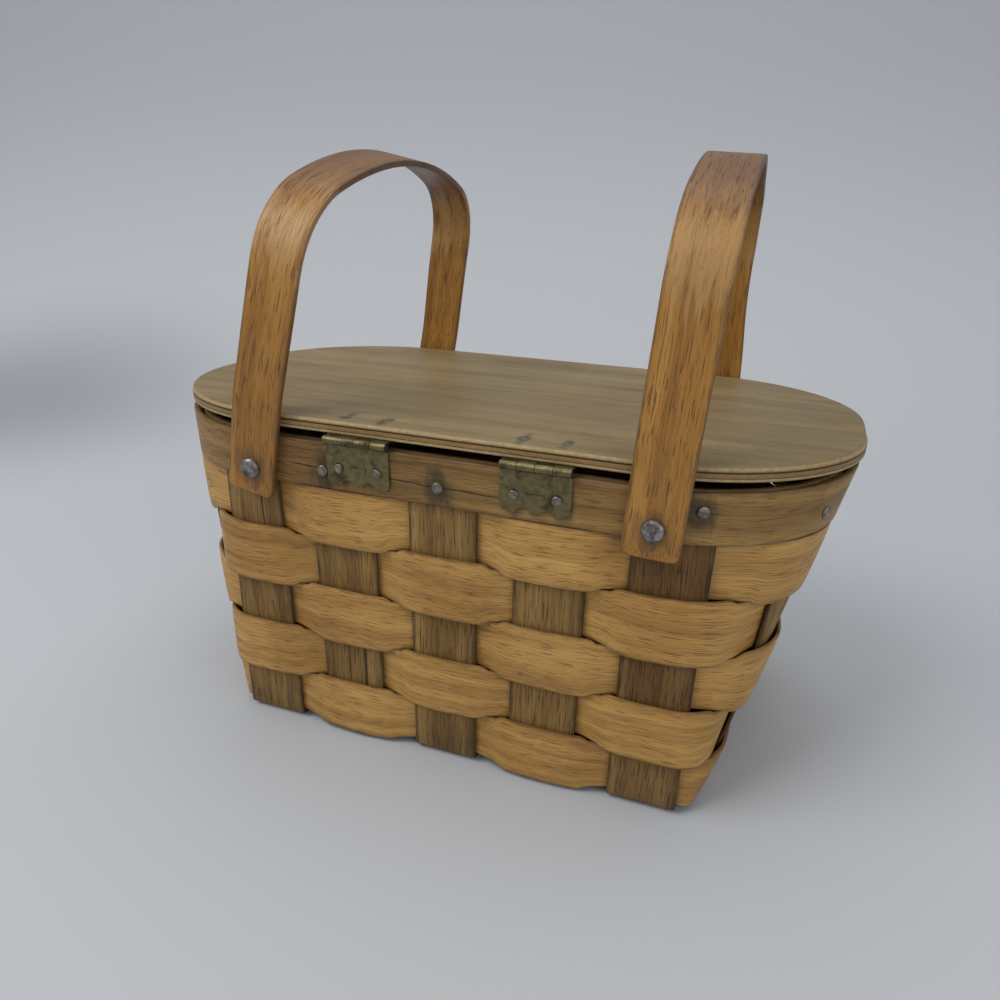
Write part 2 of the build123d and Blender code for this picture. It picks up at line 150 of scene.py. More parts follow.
def wrapGrid(piece, place, length, width, seed, closed=False):
    mesh = piece.data
    uvs = mesh.uv_layers.active.data
    for loop in mesh.loops:
        co = mesh.vertices[loop.vertex_index].co
        uvs[loop.index].uv = ((co.x + 0.5) * length + seed * 3.7, (co.y + 0.5) * width)
    for vertex in mesh.vertices:
        vertex.co = Vector(place(vertex.co.x + 0.5, vertex.co.y + 0.5)) * mm
    if closed:
        bpy.ops.object.mode_set(mode="EDIT")
        bpy.ops.mesh.select_all(action="SELECT")
        bpy.ops.mesh.remove_doubles(threshold=0.00002)
        bpy.ops.object.mode_set(mode="OBJECT")


def thicken(piece, thickness, edge, segments=2):
    solid = piece.modifiers.new("thickness", "SOLIDIFY")
    solid.thickness = thickness * mm
    solid.offset = 0.0
    solid.use_even_offset = True
    bevel = piece.modifiers.new("edges", "BEVEL")
    bevel.width = edge * mm
    bevel.segments = segments
    bevel.limit_method = "ANGLE"
    bevel.angle_limit = radians(50)
    bpy.context.view_layer.objects.active = piece
    for modifier in list(piece.modifiers):
        bpy.ops.object.modifier_apply(modifier=modifier.name)
    bpy.ops.object.select_all(action="DESELECT")
    piece.select_set(True)
    bpy.ops.object.shade_smooth_by_angle(angle=radians(40))


def giveMaterial(piece, material):
    piece.data.materials.clear()
    piece.data.materials.append(material)


class Nodes:  # short names for the shader nodes of one material
    def __init__(self, name):
        self.material = bpy.data.materials.new(name)
        self.material.use_nodes = True
        self.tree = self.material.node_tree
        self.shader = self.tree.nodes["Principled BSDF"]

    def link(self, source, target):
        if isinstance(source, (int, float)):
            target.default_value = source
        elif isinstance(source, tuple):
            whole = len(source) == len(target.default_value)
            target.default_value = source if whole else (*source, 1.0)
        else:
            self.tree.links.new(source, target)

    def coords(self, kind):
        return self.tree.nodes.new("ShaderNodeTexCoord").outputs[kind]

    def mapped(self, source, scale, place=(0, 0, 0), turn=(0, 0, 0)):
        node = self.tree.nodes.new("ShaderNodeMapping")
        self.link(source, node.inputs["Vector"])
        node.inputs["Scale"].default_value = scale
        node.inputs["Location"].default_value = place
        node.inputs["Rotation"].default_value = turn
        return node.outputs["Vector"]

    def noise(self, source, scale, detail=4.0, rough=0.55, warp=0.0):
        node = self.tree.nodes.new("ShaderNodeTexNoise")
        self.link(source, node.inputs["Vector"])
        node.inputs["Scale"].default_value = scale
        node.inputs["Detail"].default_value = detail
        node.inputs["Roughness"].default_value = rough
        node.inputs["Distortion"].default_value = warp
        return node.outputs["Fac"]

    def ramp(self, source, stops):
        node = self.tree.nodes.new("ShaderNodeValToRGB")
        self.link(source, node.inputs["Fac"])
        points = node.color_ramp.elements
        while len(points) < len(stops):
            points.new(0.5)
        for point, (place, shade) in zip(points, stops):
            point.position = place
            point.color = (shade, shade, shade, 1) if isinstance(shade, float) else (*shade, 1)
        return node.outputs["Color"]

    def maths(self, how, first, second=0.0, third=None):
        node = self.tree.nodes.new("ShaderNodeMath")
        node.operation = how
        self.link(first, node.inputs[0])
        self.link(second, node.inputs[1])
        if third is not None:
            self.link(third, node.inputs[2])
        return node.outputs[0]

    def scaled(self, value, amount):
        return self.maths("MULTIPLY", value, amount)

    def inverse(self, value):
        return self.maths("SUBTRACT", 1.0, value)

    def centred(self, value):
        return self.maths("SUBTRACT", value, 0.5)

    def mix(self, share, first, second, how="MIX"):
        node = self.tree.nodes.new("ShaderNodeMix")
        node.data_type = "RGBA"
        node.blend_type = how
        node.clamp_factor = True
        self.link(share, node.inputs[0])
        self.link(first, node.inputs[6])
        self.link(second, node.inputs[7])
        return node.outputs[2]

    def split(self, source):
        node = self.tree.nodes.new("ShaderNodeSeparateXYZ")
        self.link(source, node.inputs[0])
        return node.outputs

    def distance(self, source, place, stretch=(1, 1, 1)):
        shifted = self.mapped(source, stretch, tuple(-a * b for a, b in zip(place, stretch)))
        node = self.tree.nodes.new("ShaderNodeVectorMath")
        node.operation = "LENGTH"
        self.link(shifted, node.inputs[0])
        return node.outputs["Value"]

    def band(self, value, start, stop):  # 0 below start, 1 above stop
        node = self.tree.nodes.new("ShaderNodeMapRange")
        node.interpolation_type = "SMOOTHSTEP"
        self.link(value, node.inputs["Value"])
        node.inputs["From Min"].default_value = start
        node.inputs["From Max"].default_value = stop
        return node.outputs["Result"]

    def bump(self, height, strength, depth=0.0004):
        node = self.tree.nodes.new("ShaderNodeBump")
        node.inputs["Strength"].default_value = strength
        node.inputs["Distance"].default_value = depth
        self.link(height, node.inputs["Height"])
        return node.outputs["Normal"]

    def finish(self, colour, rough, normal=None, metal=0.0, sheen=0.3):
        self.link(colour, self.shader.inputs["Base Color"])
        self.link(rough, self.shader.inputs["Roughness"])
        self.shader.inputs["Metallic"].default_value = metal
        self.shader.inputs["Specular IOR Level"].default_value = sheen
        if normal is not None:
            self.link(normal, self.shader.inputs["Normal"])
        return self.material


def woodMaterial(name, look):  # grain along U, in metres
    n = Nodes(name)
    uv = n.coords("UV")
    place = n.coords("Object")
    wander = n.noise(n.mapped(uv, (9, 9, 9)), 1.0, 2.0)
    lifted = n.tree.nodes.new("ShaderNodeVectorMath")
    lifted.operation = "ADD"
    n.link(uv, lifted.inputs[0])
    wave = n.tree.nodes.new("ShaderNodeCombineXYZ")
    n.link(n.scaled(n.centred(wander), look["wander"]), wave.inputs[1])
    n.link(wave.outputs[0], lifted.inputs[1])
    grainUv = lifted.outputs[0]

    fibres = n.noise(n.mapped(grainUv, (60, 1500, 1)), 1.0, 5.0, 0.6)
    figure = n.noise(n.mapped(grainUv, (5, 170, 1)), 1.0, 3.0, 0.5, 0.6)
    cloud = n.noise(n.mapped(place, (22, 22, 22)), 1.0, 3.0, 0.5)
    tone = n.maths("ADD", n.scaled(figure, 0.6), n.scaled(fibres, 0.4))
    colour = n.ramp(tone, [(0.32, look["dark"]), (0.5, look["middle"]), (0.66, look["light"])])

    dashes = n.noise(n.mapped(grainUv, (110, 1900, 1), (3.1, 7.7, 0)), 1.0, 2.0, 0.5)
    dashes = n.band(dashes, look["pores"], look["pores"] + 0.07)
    rays = n.band(n.noise(n.mapped(grainUv, (16, 420, 1), (9.1, 1.7, 0)), 1.0, 3.0, 0.5), 0.62, 0.8)
    colour = n.mix(n.scaled(dashes, look["poreDepth"]), colour, look["pore"])
    colour = n.mix(n.scaled(rays, 0.5), colour, look["dark"])
    patches = n.band(cloud, 0.42, 0.68)
    colour = n.mix(n.scaled(patches, look["patchShare"]), colour, look["patch"], "MULTIPLY")

    # each strip darker along both edges: partly dirt, partly painted shade where the strips meet and tuck
    # behind one another
    v = n.split(uv)[1]
    fromEdge = n.maths("MINIMUM", v, n.maths("SUBTRACT", look["width"], v))
    fray = n.noise(n.mapped(uv, (150, 500, 1)), 1.0, 4.0)
    ragged = n.maths("ADD", fromEdge, n.scaled(n.centred(fray), 0.003))
    edge = n.inverse(n.band(ragged, 0.0, look["edgeReach"]))
    colour = n.mix(n.scaled(edge, look["edgeShare"]), colour, look["edge"])
    height = n.maths("SUBTRACT", n.scaled(tone, 0.8), n.scaled(dashes, 0.6))
    if "extra" in look:
        colour, height = look["extra"](n, place, uv, colour, height)
    rough = n.maths("ADD", look["rough"], n.scaled(n.centred(cloud), 0.25))
    return n.finish(colour, rough, n.bump(height, look["bump"], 0.0005), 0.0, look["sheen"])


def stains(n, place, spots, colour, shade, reach, share):  # dark marks round nails and rivets
    fuzz = n.noise(n.mapped(place, (260, 260, 90)), 1.0, 4.0, 0.6)
    ragged = n.scaled(n.centred(fuzz), reach * 1.6)
    for spot in spots:
        away = n.maths("ADD", n.distance(place, spot, (1, 0.35, 0.75)), ragged)
        near = n.inverse(n.band(away, reach * 0.25, reach))
        colour = n.mix(n.scaled(near, share), colour, shade)
    return colour


# weavers: five hoops, outside one upright and inside the next

weaver = {
    "rows": 5,
    "first": 3.4,
    "top": 114.4,
    "gap": 0.5,
    "depth": 2.6,
    "flatness": 1.5,
    "swell": 1.9,
    "swellLowest": 1.7,
    "swellHighest": 0.15,
    "tuck": 0.5,
    "ripple": 0.45,
    "cup": 0.35,
    "lowest": 0.7,
    "highest": 114.2,
    "columns": 384,
    "across": 12,
    "edge": 0.35,
    "look": {
        "dark": (0.268, 0.139, 0.034),
        "middle": (0.460, 0.258, 0.069),
        "light": (0.578, 0.345, 0.102),
        "pore": (0.13, 0.062, 0.022),
        "pores": 0.56,
        "poreDepth": 0.62,
        "wander": 0.012,
        "patch": (0.66, 0.56, 0.45),
        "patchShare": 0.55,
        "edge": (0.10, 0.055, 0.025),
        "edgeReach": 0.0013,
        "edgeShare": 0.55,
        "width": 0.0265,
        "rough": 0.5,
        "bump": 0.35,
        "sheen": 0.35,
    },
}


def weaverPlace(row):
    pitch = (weaver["top"] - weaver["first"]) / weaver["rows"]
    bottom = weaver["first"] + row * pitch
    highestRow = weaver["rows"] - 1
    swellUp = weaver["swell"] if row < highestRow else weaver["swellHighest"]
    swellDown = weaver["swell"] if row > 0 else weaver["swellLowest"]
    seed = 11.3 * row

    def ripple(along, shift):
        return weaver["ripple"] * noise.noise(Vector((along * 40, seed + shift, 0.0)))

    def place(along, across):
        sample = along * 16
        index = min(int(sample), 15)
        wave = tanh(weaver["flatness"] * cos(pi * sample)) / tanh(weaver["flatness"])
        if row % 2 == 0:
            wave = -wave
        front = smooth((wave - 0.15) / 0.4)
        back = smooth(max(-wave, 0.0)) * weaver["tuck"]
        lower = bottom + weaver["gap"] / 2 - swellDown * front + back + ripple(along, 0)
        upper = bottom + pitch - weaver["gap"] / 2 + swellUp * front - back + ripple(along, 5)
        if row == highestRow:
            upper = min(upper, weaver["highest"])
        height = max(lower + (upper - lower) * across, weaver["lowest"])
        here = wallSize(height)
        places = stakePlaces(here)
        distance = places[index] + (sample - index) * (places[index + 1] - places[index])
        x, y, nx, ny = outlinePoint(here, min(distance, places[16] - 0.0001))
        cup = weaver["cup"] * front * (0.35 - (2 * across - 1) ** 4)
        unevenness = 0.12 * noise.noise(Vector((along * 60, across * 2, seed)))
        push = weaver["depth"] * wave + cup + unevenness
        return x + nx * push, y + ny * push, height

    return place, 4 * quarterLength(wallSize(bottom + pitch / 2))


weaverMaterial = woodMaterial("weaverSplint", weaver["look"])
for row in range(weaver["rows"]):
    piece = addGrid(f"weaver{row + 1}", weaver["columns"], weaver["across"])
    place, length = weaverPlace(row)
    wrapGrid(piece, place, length * mm, weaver["look"]["width"], row + 1, closed=True)
    thicken(piece, wall["splint"], weaver["edge"])
    giveMaterial(piece, weaverMaterial)
    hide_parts(f"weaver_row_{row + 1}")
    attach(piece, "basket")
print("weavers woven")


# uprights: five splints across and three along, bent up from the base

stake = {
    "lift": 1.3,
    "bend": 1.6,
    "slopeRoom": 3.0,
    "top": 131.9,
    "wallSteps": 26,
    "bendSteps": 6,
    "floorSteps": 60,
    "across": 8,
    "grainLength": 0.46,
    "edge": 0.3,
    "darkSpot": (0.083, -0.08, 0.09),
    "crossPlaces": [step * wall["stakePitch"] for step in (-2, -1, 0, 1, 2)],
    "longPlaces": [step * wall["endPitch"] for step in (-1, 0, 1)],
    "look": {
        "dark": (0.122, 0.066, 0.019),
        "middle": (0.238, 0.141, 0.043),
        "light": (0.335, 0.208, 0.069),
        "pore": (0.05, 0.028, 0.014),
        "pores": 0.56,
        "poreDepth": 0.7,
        "wander": 0.006,
        "patch": (0.62, 0.56, 0.5),
        "patchShare": 0.6,
        "edge": (0.045, 0.027, 0.015),
        "edgeReach": 0.0022,
        "edgeShare": 0.8,
        "width": 0.0275,
        "rough": 0.62,
        "bump": 0.5,
        "sheen": 0.25,
    },
}


def baseHeights(crossings, highs, reach):  # floor line from end to end of one splint
    points = []
    lift = [stake["lift"] if high else 0.0 for high in highs]
    half = wall["stakeWidth"] / 2 + stake["slopeRoom"]
    for index, level in enumerate(lift):
        start = -reach if index == 0 else crossings[index] - half
        stop = reach if index == len(lift) - 1 else crossings[index] + half
        points.append((start, level))
        points.append((stop, level))

    def height(where):
        for (x0, z0), (x1, z1) in zip(points, points[1:]):
            if x0 <= where <= x1:
                return z0 + (z1 - z0) * smooth((where - x0) / max(x1 - x0, 0.001))
        return points[0][1] if where < 0 else points[-1][1]

    return height


def splintPath(axis, crossings, highs):  # down one wall, over the floor and up the other
    way = 1 if axis == "cross" else 0
    level = baseHeights(crossings, highs, wallSize(3.0)[way])
    bend = stake["bend"]
    half = wall["splint"] / 2
    lift = level(-wallSize(3.0)[way]) + half
    rise = (stake["top"] - lift - bend) / stake["wallSteps"]
    heights = [lift + bend + step * rise for step in range(stake["wallSteps"] + 1)]
    corner = wallSize(lift + bend)[way] - bend
    turns = [pi / 2 * step / stake["bendSteps"] for step in range(1, stake["bendSteps"])]
    curve = [(corner + bend * cos(turn), lift + bend * (1 - sin(turn))) for turn in turns]
    floorStep = 2 * corner / stake["floorSteps"]
    flat = [-corner + floorStep * step for step in range(stake["floorSteps"] + 1)]

    path = [("wall", -1, z) for z in reversed(heights)]
    path += [("floor", -where, z) for where, z in curve]
    path += [("floor", where, level(where) + half) for where in flat]
    path += [("floor", where, z) for where, z in reversed(curve)]
    return path + [("wall", 1, z) for z in heights]


def crossPoint(x, step):
    kind, where, z = step
    if kind == "floor":
        return x, where, z
    size = wallSize(z)
    past = max(abs(x) - (size[0] - size[2]), 0.0)
    y = size[1] - size[2] + (size[2] ** 2 - past ** 2) ** 0.5
    return x, where * y, z


def longPoint(middle, offset, step):
    kind, where, z = step
    if kind == "floor":
        return where, middle + offset, z
    size = wallSize(z)
    distance = endDistance(size, abs(middle)) + (offset if middle >= 0 else -offset)
    x, y, nx, ny = quarterPoint(size, abs(distance))
    if middle < 0 or distance < 0:
        y = -y
    return where * x, y, z


def makeSplint(name, node, path, pointAt, seed):
    piece = addGrid(name, len(path) - 1, stake["across"])

    def place(along, across):
        step = path[round(along * (len(path) - 1))]
        wobble = 0.25 * noise.noise(Vector((along * 14, seed, across * 2)))
        offset = (across - 0.5) * wall["stakeWidth"] * 0.985 + wobble
        return pointAt(offset, step)

    wrapGrid(piece, place, stake["grainLength"], stake["look"]["width"], seed)
    thicken(piece, wall["splint"], stake["edge"])
    giveMaterial(piece, stakeMaterial)
    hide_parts(node)
    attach(piece, "basket")


def stakeMarks(n, place, uv, colour, height):  # a dark upright, darker towards the floor, streaks and splits
    shaded = n.inverse(n.band(n.distance(place, stake["darkSpot"], (1, 1, 0.5)), 0.018, 0.045))
    colour = n.mix(n.scaled(shaded, 0.7), colour, (0.5, 0.4, 0.4), "MULTIPLY")
    # darker towards the floor
    low = n.inverse(n.band(n.split(place)[2], 0.0, 0.03))
    colour = n.mix(n.scaled(low, 0.35), colour, (0.05, 0.032, 0.018))
    streaks = n.band(n.noise(n.mapped(uv, (7, 380, 1), (1.3, 4.4, 0)), 1.0, 4.0, 0.6), 0.56, 0.72)
    colour = n.mix(n.scaled(streaks, 0.5), colour, (0.05, 0.03, 0.016))
    split = n.band(n.noise(n.mapped(uv, (9, 260, 1), (6.3, 2.4, 0)), 1.0, 1.0, 0.4), 0.72, 0.75)
    colour = n.mix(n.scaled(split, 0.85), colour, (0.02, 0.012, 0.008))
    return colour, n.maths("SUBTRACT", height, n.scaled(split, 1.2))


stake["look"]["extra"] = stakeMarks
stakeMaterial = woodMaterial("stakeSplint", stake["look"])
for index, x in enumerate(stake["crossPlaces"]):
    high = index % 2 == 0
    path = splintPath("cross", stake["longPlaces"], [high, not high, high])
    pointAt = lambda offset, step, x=x: crossPoint(x + offset, step)
    makeSplint(f"crossSplint{index + 1}", f"cross_splint_{index + 1}", path, pointAt, 20 + index)
for index, y in enumerate(stake["longPlaces"]):
    highs = [(number % 2 == 0) == (index == 1) for number in range(5)]
    path = splintPath("long", stake["crossPlaces"], highs)
    pointAt = lambda offset, step, y=y: longPoint(y, offset, step)
    makeSplint(f"longSplint{index + 1}", f"long_splint_{index + 1}", path, pointAt, 30 + index)
print("uprights bent up")


# rim: a band outside the uprights and a thin hoop inside them

rim = {
    "bandMiddle": 1.85,
    "bandLow": 114.45,
    "bandHigh": 132.45,
    "bandThickness": 2.2,
    "hoopLow": 116.1,
    "soiledSpot": (-0.05, -0.078, 0.123),
    "columns": 288,
    "across": 8,
    "grainLength": 0.72,
    "nailSpots": [
        (-0.0473, -0.080, 0.1216), (-0.0005, -0.080, 0.1216), (0.0905, -0.077, 0.126),
        (-0.0397, -0.080, 0.1237), (-0.0243, -0.080, 0.1237),
        (0.0283, -0.080, 0.1237), (0.0437, -0.080, 0.1237),
        (0.077, -0.080, 0.1197), (-0.077, -0.080, 0.1197),
    ],
    "look": {
        "dark": (0.148, 0.079, 0.022),
        "middle": (0.277, 0.161, 0.048),
        "light": (0.388, 0.227, 0.069),
        "pore": (0.08, 0.045, 0.022),
        "pores": 0.57,
        "poreDepth": 0.6,
        "wander": 0.01,
        "patch": (0.7, 0.62, 0.55),
        "patchShare": 0.6,
        "edge": (0.12, 0.075, 0.04),
        "edgeReach": 0.0015,
        "edgeShare": 0.6,
        "width": 0.018,
        "rough": 0.5,
        "bump": 0.4,
        "sheen": 0.3,
    },
}


def rimMarks(n, place, uv, colour, height):  # stains, a darker stretch and one long crack in front
    colour = stains(n, place, rim["nailSpots"], colour, (0.035, 0.033, 0.018), 0.0075, 0.75)
    x, y, z = n.split(place)[:3]
    # a darker stretch of the band at the left front
    darkStretch = n.inverse(n.band(n.distance(place, rim["soiledSpot"], (1, 1, 3)), 0.03, 0.09))
    colour = n.mix(n.scaled(darkStretch, 0.6), colour, (0.55, 0.5, 0.45), "MULTIPLY")
    wobble = n.scaled(n.centred(n.noise(n.mapped(place, (90, 90, 90)), 1.0, 3.0)), 0.0022)
    line = n.maths("ADD", n.maths("MULTIPLY_ADD", x, -0.021, 0.1217), wobble)
    away = n.maths("ABSOLUTE", n.maths("SUBTRACT", z, line))
    thin = n.inverse(n.band(away, 0.00012, 0.0004))
    reach = n.maths("MULTIPLY", n.band(x, -0.066, -0.058), n.inverse(n.band(x, 0.018, 0.026)))
    front = n.inverse(n.band(y, -0.074, -0.07))
    crack = n.maths("MULTIPLY", n.maths("MULTIPLY", thin, reach), front)
    colour = n.mix(n.scaled(crack, 0.92), colour, (0.02, 0.013, 0.008))
    return colour, n.maths("SUBTRACT", height, n.scaled(crack, 2.0))


rim["look"]["extra"] = rimMarks
rimMaterial = woodMaterial("rimWood", rim["look"])


def rimPlace(middle, low, high, seed):
    def place(along, across):
        height = low + (high - low) * across
        size = wallSize(height)
        around = 4 * quarterLength(size)
        x, y, nx, ny = outlinePoint(size, min(along * around, around - 0.0001))
        turn = along * 2 * pi
        push = middle + 0.08 * noise.noise(Vector((cos(turn) * 6, sin(turn) * 6, seed)))
        return x + nx * push, y + ny * push, height
    return place


rimPieces = [
    ("rimBand", "outer_rim_band", rim["bandMiddle"], rim["bandLow"], 41),
    ("rimHoop", "inner_rim_hoop", -rim["bandMiddle"], rim["hoopLow"], 42),
]
for name, node, middle, bottom, seed in rimPieces:
    piece = addGrid(name, rim["columns"], rim["across"])
    place = rimPlace(middle, bottom, rim["bandHigh"], seed)
    wrapGrid(piece, place, rim["grainLength"], rim["look"]["width"], seed, closed=True)
    thicken(piece, rim["bandThickness"], 0.55, 3)
    giveMaterial(piece, rimMaterial)
    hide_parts(node)
    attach(piece, "basket")
print("rim fitted")


# handles: one bent strip each, swinging on two rivets

handle = {
    "pivotX": 77.0,
    "pivotZ": 119.7,
    "halfWidth": 10.0,
    "thickness": 2.3,
    "height": 111.3,
    "tail": 10.4,
    "knee": 28.0,
    "draw": 5.4,
    "corner": 33.0,
    "crown": 20.0,
    "legMiddle": 82.43,
    "kneeRadius": 60.0,
    "endRound": 2.6,
    "grainLength": 0.34,
    "twists": (-1.0, -5.0),
    "leans": {"left_handle": (-1, 11.3), "right_handle": (1, 2.55)},
    "look": {
        "dark": (0.179, 0.076, 0.013),
        "middle": (0.326, 0.152, 0.027),
        "light": (0.430, 0.221, 0.045),
        "pore": (0.07, 0.032, 0.012),
        "pores": 0.57,
        "poreDepth": 0.75,
        "wander": 0.006,
        "patch": (0.62, 0.55, 0.45),
        "patchShare": 0.5,
        "edge": (0.12, 0.06, 0.022),
        "edgeReach": 0.0016,
        "edgeShare": 0.65,
        "width": 0.020,
        "rough": 0.42,
        "bump": 0.45,
        "sheen": 0.4,
    },
}


def arcPoints(centre, radius, start, stop, steps, ends=0):  # without its last point unless ends is 1
    turns = [start + (stop - start) * step / steps for step in range(steps + ends)]
    return [(centre[0] + radius * cos(turn), centre[1] + radius * sin(turn)) for turn in turns]


def handlePath():  # tail, leg, knee, sloping side, corner and crown, then the same mirrored
    leg = handle["legMiddle"]
    crown = radians(handle["crown"])
    rise = handle["height"] * 0.66
    for attempt in range(20):  # raises the corner until the crown reaches its height
        turn = atan(handle["draw"] / (rise - handle["knee"]))
        centre = (leg - handle["draw"] - handle["corner"] * cos(turn), rise - handle["corner"] * sin(turn))
        shoulderY = centre[0] + handle["corner"] * sin(crown)
        shoulderZ = centre[1] + handle["corner"] * cos(crown)
        radius = shoulderY / sin(crown)
        top = shoulderZ + radius * (1 - cos(crown)) + handle["thickness"] / 2
        rise += handle["height"] - top
    kneeZ = handle["knee"] - handle["kneeRadius"] * tan(turn / 2)
    knee = (leg - handle["kneeRadius"], kneeZ)
    half = [(leg, -handle["tail"] + 0.5 * step) for step in range(8)]
    half += [(leg, -6.4 + (kneeZ + 6.4) * step / 10) for step in range(10)]
    half += arcPoints(knee, handle["kneeRadius"], 0, turn, 4)
    start = arcPoints(knee, handle["kneeRadius"], turn, turn, 1)[0]
    stop = arcPoints(centre, handle["corner"], turn, turn, 1)[0]
    run = (stop[0] - start[0], stop[1] - start[1])
    half += [(start[0] + run[0] * step / 14, start[1] + run[1] * step / 14) for step in range(14)]
    half += arcPoints(centre, handle["corner"], turn, pi / 2 - crown, 18)
    middle = (0.0, handle["height"] - handle["thickness"] / 2 - radius)
    half += arcPoints(middle, radius, pi / 2 - crown, pi / 2, 14, 1)
    return half + [(-y, z) for y, z in reversed(half[:-1])]


def handleMarks(n, place, uv, colour, height):  # frayed fibres, greyed crowns, scuffs and rivet stains
    z = n.split(place)[2]
    fuzz = n.noise(n.mapped(uv, (30, 300, 1), (2.2, 5.1, 0)), 1.0, 5.0, 0.65)
    bends = n.maths("MULTIPLY", n.band(z, 0.165, 0.200), n.inverse(n.band(z, 0.208, 0.226)))
    worn = n.band(n.maths("ADD", n.scaled(fuzz, 0.75), n.scaled(bends, 0.25)), 0.53, 0.62)
    colour = n.mix(n.scaled(worn, 0.55), colour, (0.46, 0.27, 0.105))
    crown = n.band(z, 0.206, 0.226)
    colour = n.mix(n.scaled(crown, 0.9), colour, (0.50, 0.45, 0.37), "MULTIPLY")
    scuffs = n.band(n.noise(n.mapped(place, (300, 300, 120)), 1.0, 4.0, 0.7), 0.66, 0.72)
    colour = n.mix(n.scaled(scuffs, 0.6), colour, (0.045, 0.022, 0.012))
    pivotX = handle["pivotX"] * mm
    pivotZ = handle["pivotZ"] * mm
    spots = [(side * pivotX, front * 0.083, pivotZ) for side in (-1, 1) for front in (-1, 1)]
    colour = stains(n, place, spots, colour, (0.06, 0.035, 0.02), 0.0085, 0.6)
    return colour, n.maths("ADD", height, n.scaled(worn, 0.35))


handle["look"]["extra"] = handleMarks
handleMaterial = woodMaterial("handleWood", handle["look"])
archPath = handlePath()
for number, (node, (side, lean)) in enumerate(handle["leans"].items()):
    piece = addGrid(node.replace("_", ""), len(archPath) - 1, 8)
    lay = Matrix.Translation((side * handle["pivotX"], 0, handle["pivotZ"]))
    lay = lay @ Matrix.Rotation(radians(lean), 4, "Y")

    def place(along, across, lay=lay, number=number):
        y, z = archPath[round(along * (len(archPath) - 1))]
        reach = z + handle["tail"]
        half = handle["halfWidth"]
        rounding = handle["endRound"]
        if reach < rounding:
            half -= rounding - (rounding ** 2 - (rounding - reach) ** 2) ** 0.5
        wobble = 0.2 * noise.noise(Vector((along * 18, number, across * 2)))
        twist = handle["twists"][number] * smooth((y + 80) / 160) * smooth(z / 70)
        return lay @ Vector(((across * 2 - 1) * half * 0.995 + wobble * 0.5 + twist, y, z))

    wrapGrid(piece, place, handle["grainLength"], handle["look"]["width"], 50 + number)
    thicken(piece, handle["thickness"], 0.55, 3)
    giveMaterial(piece, handleMaterial)
    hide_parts(node)
    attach(piece, node)
print("handles bent")


# lid: plywood, its layers showing at the edge

lid = {
    "hingeY": -0.081981,
    "hingeZ": 0.1344,
    "tilt": 1.147,
    "underside": 0.00165,
    "thickness": 0.0052,
    "pale": (0.320, 0.231, 0.101),
    "grey": (0.228, 0.167, 0.076),
    "dark": (0.155, 0.109, 0.048),
    "glue": (0.055, 0.03, 0.016),
    "core": (0.306, 0.186, 0.062),
    "skin": (0.428, 0.323, 0.162),
    "nailSpots": [(x, -0.0719, 0.141) for x in (-0.0397, -0.0243, 0.0283, 0.0437)],
}


def lidMaterial():  # a face on both sides and the layers of the ply round the edge
    n = Nodes("lidPlywood")
    tilt = radians(lid["tilt"])
    place = n.coords("Object")
    flat = n.mapped(place, (1, 1, 1), (0, 0, 0), (tilt, 0, 0))
    z = n.split(flat)[2]
    base = lid["hingeY"] * sin(tilt) + lid["hingeZ"] * cos(tilt) + lid["underside"]
    depth = n.maths("DIVIDE", n.maths("SUBTRACT", z, base), lid["thickness"])
    drift = n.scaled(n.centred(n.noise(n.mapped(flat, (18, 18, 1)), 1.0, 2.0)), 0.05)
    depth = n.maths("ADD", depth, drift)

    figure = n.noise(n.mapped(flat, (7, 95, 40)), 1.0, 4.0, 0.5, 0.8)
    fibres = n.noise(n.mapped(flat, (90, 1300, 300)), 1.0, 5.0, 0.6)
    cloud = n.noise(n.mapped(flat, (16, 26, 20)), 1.0, 4.0, 0.6)
    tone = n.maths("ADD", n.scaled(figure, 0.55), n.scaled(fibres, 0.45))
    face = n.ramp(tone, [(0.33, lid["dark"]), (0.5, lid["grey"]), (0.68, lid["pale"])])
    face = n.mix(n.scaled(n.band(cloud, 0.4, 0.7), 0.5), face, (0.78, 0.72, 0.64), "MULTIPLY")
    flecks = n.band(n.noise(n.mapped(flat, (120, 1500, 300), (4, 2, 1)), 1.0, 2.0), 0.6, 0.68)
    face = n.mix(n.scaled(flecks, 0.4), face, (0.1, 0.07, 0.045))
    specks = n.band(n.noise(n.mapped(flat, (210, 210, 210), (7, 1, 3)), 1.0, 3.0), 0.74, 0.77)
    face = n.mix(n.scaled(specks, 0.8), face, (0.05, 0.035, 0.025))
    face = stains(n, place, lid["nailSpots"], face, (0.05, 0.04, 0.028), 0.003, 0.8)

    layers = [(0.0, "skin"), (0.2, "skin"), (0.24, "glue"), (0.3, "core"), (0.52, "core")]
    layers += [(0.56, "glue"), (0.64, "glue"), (0.68, "core"), (0.78, "skin"), (0.95, "skin")]
    plyEdge = n.ramp(depth, [(height, lid[layer]) for height, layer in layers])
    ends = n.noise(n.mapped(flat, (520, 520, 900)), 1.0, 3.0, 0.6)
    plyEdge = n.mix(0.5, plyEdge, n.ramp(ends, [(0.3, 0.35), (0.7, 1.0)]), "MULTIPLY")

    local = n.tree.nodes.new("ShaderNodeVectorTransform")
    local.vector_type = "NORMAL"
    local.convert_from = "WORLD"
    local.convert_to = "OBJECT"
    n.link(n.tree.nodes.new("ShaderNodeNewGeometry").outputs["True Normal"], local.inputs[0])
    upright = n.maths("ABSOLUTE", n.split(local.outputs[0])[2])
    isFace = n.band(upright, 0.55, 0.9)
    colour = n.mix(isFace, plyEdge, face)
    glueStops = [(0.2, 1.0), (0.25, 0.0), (0.31, 1.0), (0.5, 1.0), (0.58, 0.0), (0.66, 1.0)]
    height = n.mix(isFace, n.ramp(depth, glueStops), tone)
    rough = n.maths("ADD", 0.52, n.scaled(n.centred(cloud), 0.3))
    return n.finish(colour, rough, n.bump(height, 0.3, 0.0004), 0.0, 0.3)


